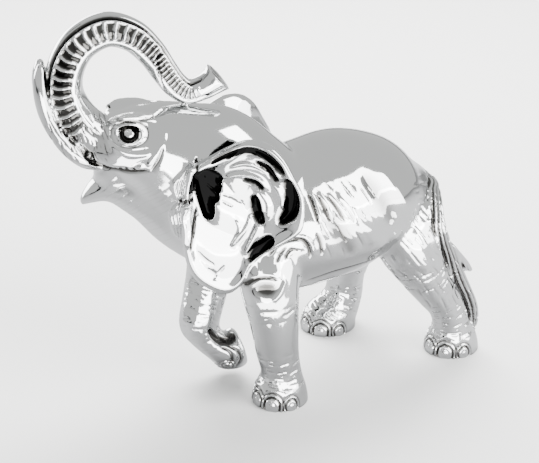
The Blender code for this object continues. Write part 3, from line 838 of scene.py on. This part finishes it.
# the crease where the lifted foot curls back, and the folds that swirl round its pad
curled = (y > -13) * (y < 6) * ramp(-facing[:, 1], -0.2, 0.2) * (1 - ramp(z, 32, 36)) * (x < 10)
FOOT_FOLDS = [  # (curve as (x, z) points, width, depth)
    ([(-12.5, 31), (-10.9, 27.6), (-7.7, 23.6), (-2.5, 22.6), (2, 25)], 1.7, 1.8),
    ([(-8, 20.6), (-3.8, 18.2), (-2.4, 13.6), (-4, 9)], 0.8, 0.7),
    ([(-4.6, 20.8), (0.2, 18), (1.6, 13), (0, 8.4)], 0.8, 0.7),
]
for points, width, cut in FOOT_FOLDS:
    touch = curled * body_mark(points, width)
    relief -= cut * touch
    # painted shade in the foot's folds
    painted_shade += 0.1 * touch
print("the lifted foot has", len(FOOT_FOLDS), "folds")

# %% Carve the nails
NAIL_HALF = 3.8
NAIL_TALL = 4.4
NAIL_HEIGHT = 2.6  # how high above the ground a nail's middle lies
FEET = [((11.6, -27.3), 14.4), ((113.7, -23.5), 14.4), ((68.8, 26.0), 14.8)]  # (middle, radius)
PAD_HOLLOW, PAD_HALF = np.array([11.0, 4.6, 15.0]), np.array([4.0, 5.5, 6.0])


def nail(at, wide, tall):
    """The rise of a dome in a groove, with a fainter arc round it, and the painted shade in both grooves."""
    gap = (place - at) / np.array([wide, wide, tall])
    r = np.linalg.norm(gap, axis=1)
    dome = 0.4 * np.sqrt(np.clip(1 - (r / 1.05) ** 2, 0.0, 1.0)) - 0.3 * bump(r - 0.6, 0.12)
    rise = dome - 0.9 * bump(r - 1.16, 0.15) + 0.3 * bump(r - 1.42, 0.14) - 0.6 * bump(r - 1.66, 0.12)
    return rise, 0.22 * bump(r - 1.16, 0.1) + 0.12 * bump(r - 1.66, 0.09)


for (foot_x, foot_y), radius in FEET:
    for turn in (-88, -44, 0, 44, 88):
        a = math.radians(turn)
        at = np.array([foot_x - radius * math.cos(a), foot_y + radius * math.sin(a), NAIL_HEIGHT])
        scale = 1.0 if abs(turn) < 60 else 0.8
        rise, black = nail(at, NAIL_HALF * scale, NAIL_TALL * scale)
        relief += rise
        # painted shade in the grooves round the nails
        painted_shade += black
# the lifted foot shows its nails in front and a hollow in its pad
for turn in (-66, -22, 22, 66):
    a = math.radians(turn)
    at = np.array([-3.6 - 3.0 * math.cos(a), 5.2 + 8.4 * math.sin(a), 9.4 - 4.0 * math.cos(a)])
    relief += 0.8 * nail(at, 3.0, 3.0)[0]
relief -= 1.6 * bump(np.linalg.norm((place - PAD_HOLLOW) / PAD_HALF, axis=1), 1.0)
print("the feet have", 5 * len(FEET) + 4, "nails")

# %% [markdown]
# ## The tail's hair
# The tail is combed: long grooves twist slowly down it, and they deepen where it opens into its tuft.

# %% Carve the tail
run, angle, out = along_limb(place, TAIL)
on_tail = between(out, 0.7, 0.85, 1.25, 1.4)
hair = np.cos(np.radians(11 * angle) + run / 6.5 + 1.2 * np.sin(run / 9.0))
locks = np.cos(np.radians(4 * angle) - run / 11.0)
relief += on_tail * (0.4 + 0.3 * ramp(run, 20, 50)) * (hair - 0.4)
relief += 0.3 * on_tail * ramp(run, 30, 55) * locks
# painted shade in the tail's hair grooves
painted_shade += on_tail * 0.3 * (1 - ramp(hair, -0.9, -0.2)) * (0.5 + 0.5 * locks)
print("the tail is", round(float(run.max())), "parts long")

# %% Cut all the marks
DEEPEST = 3.6  # a cut this deep, in drawn parts, is painted black as shade
place += facing * relief[:, None]
clay.vertices.foreach_set("co", place.ravel())
# painted shade: the deeper a cut, the darker the silver is painted, plus the painted shade summed above
painted_shade_total = np.clip(painted_shade - relief / DEEPEST, 0.0, 1.0)
clay.attributes.new("carving", "FLOAT", "POINT").data.foreach_set("value", painted_shade_total)
clay.update()
print("the cuts and rises run from", relief.min().round(2), "to", relief.max().round(2), "parts")

# %% [markdown]
# ## From clay to casting
# The casting has flat soles, so the skin is cut at the ground and closed. It must also stay a light mesh:
# a decimation takes facets away where the skin is plain and keeps them where it is carved. A mirror would
# show every facet that is left, so the casting borrows its shading normals from the fine clay.

# %% Flat soles and fewer facets
FACETS = 196000


def flat_soles(bm):
    """Cut off what lies below the ground, and close the soles."""
    everything = bm.verts[:] + bm.edges[:] + bm.faces[:]
    cut = bmesh.ops.bisect_plane(bm, geom=everything, plane_co=(0, 0, 0), plane_no=(0, 0, -1),
                                 clear_outer=True)
    rims = [e for e in cut["geom_cut"] if isinstance(e, bmesh.types.BMEdge)]
    soles = bmesh.ops.edgeloop_fill(bm, edges=rims)["faces"]
    bmesh.ops.triangulate(bm, faces=soles)
    return len(soles)


casting = bmesh.new()
casting.from_mesh(clay)
print("soles closed:", flat_soles(casting))
bmesh.ops.recalc_face_normals(casting, faces=casting.faces[:])
source = BVHTree.FromBMesh(casting)
casting.to_mesh(clay)
casting.free()
fine_normals = rows(clay.vertex_normals, "vector", len(clay.vertices))
fine_painted_shade = np.zeros(len(clay.vertices))
clay.attributes["carving"].data.foreach_get("value", fine_painted_shade)

carrier = as_object("carrier", clay)
fewer = carrier.modifiers.new("Fewer facets", "DECIMATE")
triangles = sum(len(p.vertices) - 2 for p in clay.polygons)
fewer.ratio = min(1.0, FACETS / triangles)
skin_mesh = settled(carrier)
print("from", triangles, "to", sum(len(p.vertices) - 2 for p in skin_mesh.polygons), "triangles")

# %% Borrow the fine normals and the painted groove shade
lent = np.column_stack([fine_normals, fine_painted_shade])
taken = []
for vert in skin_mesh.vertices:
    spot, _, index, _ = source.find_nearest(vert.co)
    corners = list(clay.polygons[index].vertices)
    weights = poly_3d_calc([clay.vertices[i].co for i in corners], spot)
    taken.append(np.array(weights) @ lent[corners])
taken = np.array(taken)
normals = [Vector(row[:3]).normalized() for row in taken]
painted_shade_layer = skin_mesh.attributes.new("carving", "FLOAT", "POINT")
painted_shade_layer.data.foreach_set("value", np.clip(taken[:, 3], 0.0, 1.0))
print("the light skin has borrowed", len(normals), "normals")

# %% Put the casting in its place
corners = rows(skin_mesh.vertices, "co", len(skin_mesh.vertices))
corner_low, corner_high = corners.min(axis=0), corners.max(axis=0)
middle = (corner_low + corner_high) / 2 * MM
shift = Vector(((box_low[0] + box_high[0]) / 2 - middle[0], (box_low[1] + box_high[1]) / 2 - middle[1], 0.0))
skin_mesh.transform(Matrix.Translation(shift) @ Matrix.Scale(MM, 4))
skin_mesh.shade_smooth()
skin_mesh.normals_split_custom_set_from_vertices(normals)
skin_mesh.name = "elephant_skin"
elephant = as_object("elephant_skin", skin_mesh)
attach(elephant, "root")
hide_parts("elephant")
bpy.data.meshes.remove(clay)
print("the casting measures", [round(float(v), 1) for v in corner_high - corner_low], "drawn parts")

# %% [markdown]
# ## The silver
# Resin is silvered by laying metal leaf over lacquer, or by chroming in a vacuum, and then it is polished.
# Both leave a metal that mirrors nearly everything.
# The Principled shader is a metal here. Its roughness wanders a little with handling, its colour is painted
# darker in the grooves as shade and dark reflections, and a shallow ripple stands for the lacquer beneath,
# which is never quite flat.

# %% Helpers for materials
def srgb(code):
    """A colour picked on a screen, as the linear values that the shader works in."""
    parts = [int(code[i:i + 2], 16) / 255 for i in (1, 3, 5)]
    return [p / 12.92 if p <= 0.04045 else ((p + 0.055) / 1.055) ** 2.4 for p in parts] + [1.0]


def add(tree, kind, settings=None, links=None):
    """Add a node, set its properties, and set or link its sockets by name."""
    made = tree.nodes.new(kind)
    for name, value in (settings or {}).items():
        setattr(made, name, value)
    for name, value in (links or {}).items():
        if isinstance(value, bpy.types.NodeSocket):
            tree.links.new(value, made.inputs[name])
        else:
            made.inputs[name].default_value = value
    return made


print("mid grey #808080 is", round(srgb("#808080")[0], 3), "in linear light")

# %% Silver over lacquered resin
HANDLING_SIZE = 0.024  # the size of a duller patch that a hand leaves, in metres
RIPPLE_SIZE = 0.006  # the size of a ripple in the lacquer
RIPPLE_HEIGHT = 0.00002


def silver_laminate():
    """A mirror, softly rippled, a little duller where it is handled, with shade painted dark into its
    grooves.
    """
    finish = bpy.data.materials.new("silver_laminate")
    finish.use_nodes = True
    tree = finish.node_tree
    where = add(tree, "ShaderNodeTexCoord").outputs["Object"]
    handling = add(tree, "ShaderNodeTexNoise", links={"Vector": where, "Scale": 1 / HANDLING_SIZE,
                                                      "Detail": 3.0})
    rough = add(tree, "ShaderNodeMapRange", links={"Value": handling.outputs["Fac"], "To Min": 0.045,
                                                   "To Max": 0.1})
    ripple = add(tree, "ShaderNodeTexNoise", links={"Vector": where, "Scale": 1 / RIPPLE_SIZE, "Detail": 2.0})
    lacquer = add(tree, "ShaderNodeBump", links={"Height": ripple.outputs["Fac"], "Strength": 1.0,
                                                 "Distance": RIPPLE_HEIGHT})
    painted_shade_input = add(tree, "ShaderNodeAttribute", {"attribute_name": "carving"})
    # the groove shade is painted into the silver's colour: plain silver, mid grey at 0.25, black from 0.7
    painted_shade_ramp = add(tree, "ShaderNodeValToRGB", links={"Fac": painted_shade_input.outputs["Fac"]})
    painted_shade_ramp.color_ramp.elements[0].color = srgb("#CFD0D0")
    painted_shade_ramp.color_ramp.elements[1].color = srgb("#060606")
    painted_shade_ramp.color_ramp.elements[1].position = 0.7
    half_shade = painted_shade_ramp.color_ramp.elements.new(0.25)
    half_shade.color = srgb("#555452")
    shader = tree.nodes["Principled BSDF"]
    shader.inputs["Metallic"].default_value = 1.0
    tree.links.new(painted_shade_ramp.outputs["Color"], shader.inputs["Base Color"])
    tree.links.new(rough.outputs["Result"], shader.inputs["Roughness"])
    tree.links.new(lacquer.outputs["Normal"], shader.inputs["Normal"])
    return finish


elephant.data.materials.clear()
elephant.data.materials.append(silver_laminate())
print("the silver has", len(elephant.data.materials[0].node_tree.nodes), "nodes")

# %% [markdown]
# ## The studio
# A mirror has no looks of its own: it shows the studio. The photographer stood the elephant on a white table
# in a pale grey room, lit by a few large soft boxes. We build the same: a white floor, a grey room as the
# world, soft boxes that show as white patches on flank and ear, and dark cards for the black lines. The
# silver shows a greyer table than the camera sees, so a grey one lies on the white floor for it alone.

# %% Floor and room
FLOOR_SIZE = 8.0


def matt(name, code, roughness=0.9):
    """A plain matt material."""
    finish = bpy.data.materials.new(name)
    finish.use_nodes = True
    inputs = finish.node_tree.nodes["Principled BSDF"].inputs
    inputs["Base Color"].default_value = srgb(code)
    inputs["Roughness"].default_value = roughness
    return finish


def sheet(name, width, height, finish):
    """A flat sheet, face up."""
    flat = bmesh.new()
    bmesh.ops.create_grid(flat, x_segments=1, y_segments=1, size=0.5)
    bmesh.ops.scale(flat, vec=(width, height, 1.0), verts=flat.verts)
    mesh = as_mesh(flat, name)
    mesh.materials.append(finish)
    return as_object(name, mesh)


floor = sheet("floor", FLOOR_SIZE, FLOOR_SIZE, matt("white_table", "#E6E6E5"))
floor.visible_glossy = False

room = bpy.data.worlds.new("grey_room")
room.use_nodes = True
room.node_tree.nodes["Background"].inputs["Color"].default_value = srgb("#F0F1F0")
room.node_tree.nodes["Background"].inputs["Strength"].default_value = 1.15
bpy.context.scene.world = room
print("the floor is", FLOOR_SIZE, "m wide")

# %% A grey table under the figure, which only the silver sees
CLOTH_LIFT = 0.0003  # just above the floor, in metres
grey_table = sheet("grey_table", FLOOR_SIZE, FLOOR_SIZE, matt("grey_cloth", "#A0A0A1"))
grey_table.location.z = CLOTH_LIFT
grey_table.visible_camera = False
grey_table.visible_diffuse = False
grey_table.visible_shadow = False
print("the grey table lies", CLOTH_LIFT * 1000, "mm above the floor")


# %% Soft boxes and dark cards
def towards(azimuth, elevation):
    """A direction from the figure. Azimuth 0 lies behind its tail, and -90 on its left."""
    a, e = math.radians(azimuth), math.radians(elevation)
    return Vector((math.cos(a) * math.cos(e), math.sin(a) * math.cos(e), math.sin(e)))


def stand(thing, azimuth, elevation, distance):
    """Put a lamp or a card round the figure, facing it, and out of the camera's own sight."""
    way = towards(azimuth, elevation)
    thing.location = Vector((0, 0, 0.1)) + way * distance
    thing.rotation_mode = "QUATERNION"
    thing.rotation_quaternion = way.to_track_quat("Z", "Y")
    thing.visible_camera = False


def soft_box(name, azimuth, elevation, distance, width, height, radiance):
    """A glowing panel of that radiance."""
    lamp = bpy.data.lights.new(name, "AREA")
    lamp.shape = "RECTANGLE"
    lamp.size = width
    lamp.size_y = height
    lamp.energy = radiance * width * height * math.pi
    panel = as_object(name, lamp)
    stand(panel, azimuth, elevation, distance)
    return panel


def dark_card(name, azimuth, elevation, distance, width, height):
    """A sheet of black velvet."""
    card = sheet(name, width, height, velvet)
    stand(card, azimuth, elevation, distance)
    card.visible_shadow = False
    card.visible_diffuse = False


velvet = matt("black_velvet", "#050505", 1.0)
velvet.node_tree.nodes["Principled BSDF"].inputs["Specular IOR Level"].default_value = 0.0

soft_box("side_box", -56, 30, 1.4, 0.85, 1.1, 13.0)
# table_box only whitens the floor behind the figure, and the other four only show in the silver
soft_box("table_box", 62, 50, 0.75, 0.7, 0.5, 26.0).visible_glossy = False
soft_box("haunch_box", -46, -5, 0.6, 0.42, 0.36, 9.0).visible_diffuse = False
soft_box("low_box", -102, -12, 0.34, 0.4, 0.22, 14.0).visible_diffuse = False
# the strip doesn't stand round the figure but lies in front of it on the table, and shines upwards
STRIP_PLACE = (-0.038, -0.251, 0.002)
STRIP_TURN = math.radians(-16.4)
strip = soft_box("table_strip", -90, -26, 0.25, 0.32, 0.26, 9.0)
strip.visible_diffuse = False
strip.location = STRIP_PLACE
face_up = Matrix.Rotation(math.pi, 3, "X").to_quaternion()
strip.rotation_quaternion = Matrix.Rotation(STRIP_TURN, 3, "Z").to_quaternion() @ face_up
soft_box("back_box", 105, 4, 1.2, 1.5, 0.5, 12.0).visible_diffuse = False
dark_card("front_card", -168, -10, 0.9, 0.45, 0.3)
dark_card("high_card", 150, 42, 1.5, 0.5, 0.5)

# %% [markdown]
# ## The camera
# The photograph looks down on the elephant from its left front, through a long lens, from about a metre.

# %% Camera
PHOTO_WIDTH = 539
FOCAL_IN_PIXELS = 2140.0
VIEW_AZIMUTH, VIEW_ELEVATION = math.radians(-28.0), math.radians(27.0)
DISTANCE = 1.0
AIM = Vector((-0.02007, -0.03749, 0.1))
back = Vector((math.sin(VIEW_AZIMUTH) * math.cos(VIEW_ELEVATION),
               -math.cos(VIEW_AZIMUTH) * math.cos(VIEW_ELEVATION), math.sin(VIEW_ELEVATION)))
lens = bpy.data.cameras.new("camera")
lens.sensor_width = 36.0
lens.lens = FOCAL_IN_PIXELS / PHOTO_WIDTH * lens.sensor_width
lens.clip_start = 0.05
lens.clip_end = 50.0
camera = as_object("camera", lens)
camera.location = AIM + back * DISTANCE
camera.rotation_mode = "QUATERNION"
camera.rotation_quaternion = (-back).to_track_quat("-Z", "Y")
bpy.context.scene.camera = camera
print("the lens is", round(lens.lens, 1), "mm long")
